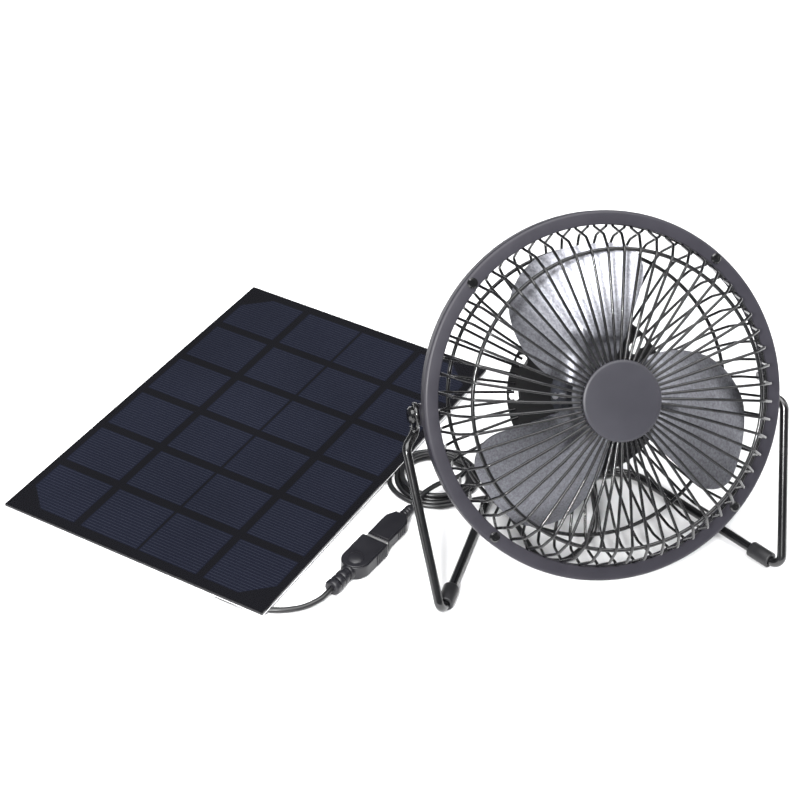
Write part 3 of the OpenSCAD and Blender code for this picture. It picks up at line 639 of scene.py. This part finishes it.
def add_eye(bm, side):
    """The rod's flattened end: a plate round the pivot that runs into the round rod.

    Each level is a height from the pivot, a half width and a half thickness.
    """
    levels = [
        (6.2, 0.6, 0.9), (5.6, 2.9, 1.15), (4.2, 4.7, 1.2), (2.2, 5.9, 1.2), (0, 6.3, 1.2), (-2.2, 5.9, 1.2),
        (-4.2, 4.7, 1.2), (-5.4, 3.7, 1.4), (-6.4, 3.0, 1.8), (-7.2, 2.55, 2.25), (-7.7, 2.42, 2.42),
    ]
    rings = []
    for z, wide, thick in levels:
        y = -0.12 * max(-z - 3, 0)
        ring = []
        for k in range(EYE_SIDES):
            a = 2 * math.pi * k / EYE_SIDES
            c, s = math.cos(a), math.sin(a)
            power = 0.5 if thick < 1.5 else 0.75 if thick < 2 else 1
            u = math.copysign(abs(c) ** power, c) * wide
            v = math.copysign(abs(s) ** power, s) * thick
            ring.append(bm.verts.new(((ARM_X + v) * side, y + u, z)))
        rings.append(ring)
    for here, following in zip(rings, rings[1:]):
        for k in range(EYE_SIDES):
            n = (k + 1) % EYE_SIDES
            bm.faces.new((here[k], here[n], following[n], following[k]))
    bm.faces.new(rings[0])
    bm.faces.new(rings[-1])


def make_sleeves():
    bm = bmesh.new()
    profile = rounded(rect(2.42, 0, 4.15, 13), 0.7, 4)
    for side in (1, -1):
        foot, back = (Vector((x * side, y, z)) for x, y, z in (FOOT_CORNER, BACK_CORNER))
        d = (back - foot).normalized()
        place = Matrix.Translation(foot + d * 7.2) @ d.to_track_quat("Z", "Y").to_matrix().to_4x4()
        lathe(bm, profile, 48, place)
    place = scale_mm(Matrix.Translation(FAN))
    add_mesh("rubber_sleeves", bm, 40, place, RUBBER, "stand", "foot_rubber", "foot_sleeves")


make_stand()
make_sleeves()


# ---------------------------------------------------------------- solar panel

PANEL_TURN = math.radians(-42.4)
PANEL = Matrix.Translation(FAN + Vector((-0.1553, 0.1067, 0))) @ Matrix.Rotation(PANEL_TURN, 4, "Z")
PANEL_MM = scale_mm(PANEL)
PANEL_W, PANEL_L = 160.0, 240.0
CELL_X = (-57.8, -18.3, 18.3, 57.8)
CELL_W = 35.2
CELL_PITCH = 38.0
CELL_CHAMFER = 14.0
FACE_Z = 5.3
FINGERS_PER_CELL = 17
COVER_INSET = 0.12


def slab(bm, outline, low, high):
    """A flat plate between two heights, from its outline."""
    bottom = [bm.verts.new((x, y, low)) for x, y in outline]
    top = [bm.verts.new((x, y, high)) for x, y in outline]
    bm.faces.new(top)
    bm.faces.new(bottom[::-1])
    for k in range(len(outline)):
        n = (k + 1) % len(outline)
        bm.faces.new((bottom[k], bottom[n], top[n], top[k]))


def clip_corner(x0, y0, x1, y1):
    """A cell's outline, cut off where it passes the field's chamfered corner."""
    field_x = CELL_X[3] + CELL_W / 2
    field_y = 2.5 * CELL_PITCH + 1 + 17.3
    limit = field_x + field_y - CELL_CHAMFER
    outline = rect(x0, y0, x1, y1)
    for sx, sy in ((1, 1), (-1, 1), (-1, -1), (1, -1)):
        kept = []
        for (ax, ay), (bx, by) in zip(outline, outline[1:] + outline[:1]):
            da, db = sx * ax + sy * ay - limit, sx * bx + sy * by - limit
            if da <= 0:
                kept.append((ax, ay))
            if da * db < 0:
                t = da / (da - db)
                kept.append((ax + t * (bx - ax), ay + t * (by - ay)))
        outline = kept
    return outline


def cell_boxes():
    for row in range(6):
        end = row in (0, 5)
        y = (row - 2.5) * CELL_PITCH + (-1 if row == 0 else 1 if row == 5 else 0)
        h = 34.6 if end else 32.6
        for x in CELL_X:
            yield x - CELL_W / 2, y - h / 2, x + CELL_W / 2, y + h / 2


def make_panel():
    bm = bmesh.new()
    w, l = PANEL_W / 2, PANEL_L / 2
    slab(bm, rect(-w, -l, w, l), 3.1, 3.65)
    plate = add_mesh("panel_plate", bm, 30, PANEL_MM, BOARD, "stand", "board_white", "panel_board")
    soften(plate, 0.15, 2)

    bm = bmesh.new()
    w, l = w - COVER_INSET, l - COVER_INSET
    slab(bm, rect(-w, -l, w, l), 3.66, FACE_Z - 0.14)
    laminate = add_mesh("panel_laminate", bm, 30, PANEL_MM, BORDER, "stand", "cover_clear", "panel_cover")
    soften(laminate, 0.15, 2)

    bm = bmesh.new()
    for box in cell_boxes():
        slab(bm, clip_corner(*box), FACE_Z - 0.2, FACE_Z - 0.08)
    add_mesh("panel_cells", bm, 30, PANEL_MM, CELL, "stand", "cell_blue", "solar_cells")

    bm = bmesh.new()
    for x0, y0, x1, y1 in cell_boxes():
        for i in range(FINGERS_PER_CELL):
            y = y0 + (i + 0.5) * (y1 - y0) / FINGERS_PER_CELL
            strip = clip_corner(x0 + 0.6, y - 0.16, x1 - 0.6, y + 0.16)
            if len(strip) > 2:
                slab(bm, strip, FACE_Z - 0.1, FACE_Z - 0.05)
    add_mesh("cell_fingers", bm, 30, PANEL_MM, FINGER, "stand", "cell_blue")


def soften(obj, width, segments):
    """Rounds a piece's sharp edges, with the width in mm."""
    mod = obj.modifiers.new("edges", "BEVEL")
    mod.width = width * MM
    mod.segments = segments
    mod.limit_method = "ANGLE"
    mod.angle_limit = math.radians(30)


make_panel()


# ---------------------------------------------------------------- socket and plug

PLUG_LINE = (
    Matrix.Translation(FAN + Vector((-0.111, 0.0052, 0.0045))) @ Matrix.Rotation(math.radians(45), 4, "Z")
)
PLUG_MM = scale_mm(PLUG_LINE)


def arc(cx, cy, r, start, end, steps):
    return [(cx + r * math.cos(math.radians(a)), cy + r * math.sin(math.radians(a)))
            for a in (start + (end - start) * i / steps for i in range(steps + 1))]


def shrunk(outline, amount):
    """The outline moved inwards, for convex outlines given anticlockwise or clockwise."""
    centre = Vector((sum(x for x, y in outline), sum(y for x, y in outline))) / len(outline)
    half_x = max(abs(x - centre.x) for x, y in outline)
    half_y = max(abs(y - centre.y) for x, y in outline)
    scale_x, scale_y = 1 - amount / half_x, 1 - amount / half_y
    return [(centre.x + (x - centre.x) * scale_x, centre.y + (y - centre.y) * scale_y) for x, y in outline]


def moulded_body(name, outline, half, node, grip):
    """A moulded body with a raised panel on both broad sides and upright grip ribs on the narrow ones."""
    bm = bmesh.new()
    slab(bm, outline, -half + 0.75, half - 0.75)
    for side in (1, -1):
        low, high = sorted((side * (half - 0.8), side * half))
        slab(bm, shrunk(outline, 0.75), low, high)
    body = add_mesh(name, bm, 30, PLUG_MM, PLUG, "stand", "plug_black", node)
    soften(body, 0.42, 3)
    bm = bmesh.new()
    wide = max(y for x, y in outline)
    for x in grip:
        for side in (1, -1):
            y0, y1 = sorted((side * (wide - 0.4), side * (wide + 0.35)))
            slab(bm, rect(x - 0.42, y0, x + 0.42, y1), -half + 1.0, half - 1.0)
    ridges = add_mesh(f"{name}_grip", bm, 30, PLUG_MM, PLUG, "stand", "plug_black")
    soften(ridges, 0.22, 2)
    return [body, ridges]


def make_socket():
    r = 7.8
    outline = [(0, -r), (0, r)] + arc(-26 + r, 0, r, 90, 270, 24)
    pieces = moulded_body("socket_body", outline, 4.45, "socket_overmould", (-1.8, -3.8, -5.8, -7.8, -9.8))
    bm = bmesh.new()
    angles = [math.pi / 2 * k / 10 for k in range(10, -1, -1)]
    dome = [(0, 3.9)] + [(4.6 * math.sin(a), 4.1 + 1.45 * math.cos(a)) for a in angles]
    lathe(bm, dome, 48, Matrix.Translation((-18.6, 0, 0)))
    pieces.append(add_mesh("socket_thumb_dome", bm, 50, PLUG_MM, PLUG, "stand", "plug_black"))
    return pieces


def relief(name, x, direction, profile, node):
    bm = bmesh.new()
    place = Matrix.Translation((x, 0, 0)) @ Matrix.Rotation(direction * math.pi / 2, 4, "Y")
    lathe(bm, profile, 40, place)
    return add_mesh(name, bm, 35, PLUG_MM, PLUG, "stand", "plug_black", node)


def boot(rings, neck, bore, length):
    """A cord boot's profile: a neck with rounded rings standing out of it."""
    profile = [(bore, 0)]
    steps = 80
    for i in range(steps + 1):
        z = length * i / steps
        r = neck
        for place, ring_r, half in rings:
            swell = max(1 - ((z - place) / half) ** 4, 0) ** 0.5
            r = max(r, neck + (ring_r - neck) * swell)
        profile.append((r, z))
    profile.append((bore, length))
    return profile


def make_plug():
    w = 6.5
    outline = [(2.5, -w), (20.5, -w), (25.5, -3.6), (25.5, 3.6), (20.5, w), (2.5, w)]
    return moulded_body("plug_body", outline, 3.5, "plug_overmould", (12.4, 14.4, 16.4, 18.4))


# Each ring of a boot as its place along it, its radius and half its width
LEAD_RINGS = ((0.6, 4.2, 1.4), (5.6, 3.9, 1.7), (9.6, 4.0, 1.7), (13.9, 4.3, 2.1))
PLUG_RINGS = ((0.4, 3.1, 5.0), (7.4, 2.75, 0.8), (9.7, 2.65, 0.8), (12.4, 2.55, 1.5))
socket_pieces = make_socket()
lead_relief = relief("lead_relief", -25.2, -1, boot(LEAD_RINGS, 2.9, 1.55, 16), "lead_strain_relief")
plug_pieces = make_plug()
plug_relief = relief("plug_relief", 20.5, 1, boot(PLUG_RINGS, 2.05, 1.45, 14), "plug_strain_relief")


# ---------------------------------------------------------------- carried-over pieces

CAD_FINISH = {
    "rim_screws": ROD, "rim_nuts": STEEL, "motor_plate": PLATE, "rear_housing": PLATE,
    "housing_screws": STEEL, "motor_can": CAN, "motor_magnets": FERRITE, "motor_end_cap": MOULDED,
    "front_bushing": BRONZE, "rear_bushing": BRONZE, "motor_brushes": FERRITE, "motor_screws": STEEL,
    "switch_body": MOULDED, "switch_rocker": MOULDED, "cord_gland": RUBBER, "pivot_tabs": ENAMEL,
    "pivot_screws": ROD, "pivot_washers": ENAMEL, "pivot_nuts": STEEL, "motor_shaft": STEEL,
    "armature_core": CAN, "armature_windings": COPPER, "commutator": COPPER, "blade_hub": ALUMINIUM,
    "hub_rivets": STEEL, "panel_pads": RUBBER, "junction_box": MOULDED, "socket_shell": NICKEL,
    "socket_contacts": BRONZE, "plug_shell": NICKEL, "plug_tongue": TONGUE,
}
for node_name, material in CAD_FINISH.items():
    data = frame["nodes"][node_name].data
    data.materials.clear()
    data.materials.append(material)


# ---------------------------------------------------------------- studio


def area_light(name, at, target, size, power):
    data = bpy.data.lights.new(name, "AREA")
    data.shape = "RECTANGLE"
    data.size, data.size_y = size
    data.energy = power
    lamp = bpy.data.objects.new(name, data)
    bpy.context.collection.objects.link(lamp)
    lamp.location = at
    lamp.rotation_euler = (Vector(target) - Vector(at)).to_track_quat("-Z", "Y").to_euler()


def make_studio():
    bm = bmesh.new()
    slab(bm, rect(-4, -4, 4, 4), -0.02, -0.0002)
    floor_mat, tree, shader = new_material("floor_white")
    pale = ramp(tree, noise(tree, 3), (0.86, 0.86, 0.87), (0.90, 0.90, 0.905))
    tree.links.new(pale, shader.inputs["Base Color"])
    shader.inputs["Roughness"].default_value = 0.7
    floor = link("floor", finish_mesh(bm, "floor"), floor_mat, None, None)
    area_light("top", (0.0, -0.35, 2.0), (0.0, 0.0, 0.0), (2.6, 1.7), 92)
    area_light("key", FAN + Vector((-0.78, -1.35, 1.18)), FAN + Vector((0, 0, 0.1)), (0.22, 0.22), 50)
    area_light("side", (1.7, -0.2, 0.8), (0, 0, 0.08), (0.8, 1.2), 9)
    world = bpy.data.worlds.new("studio")
    world.use_nodes = True
    world.node_tree.nodes["Background"].inputs["Color"].default_value = (0.94, 0.96, 1.0, 1)
    world.node_tree.nodes["Background"].inputs["Strength"].default_value = 0.2
    bpy.context.scene.view_settings.view_transform = "Standard"
    bpy.context.scene.world = world


make_studio()
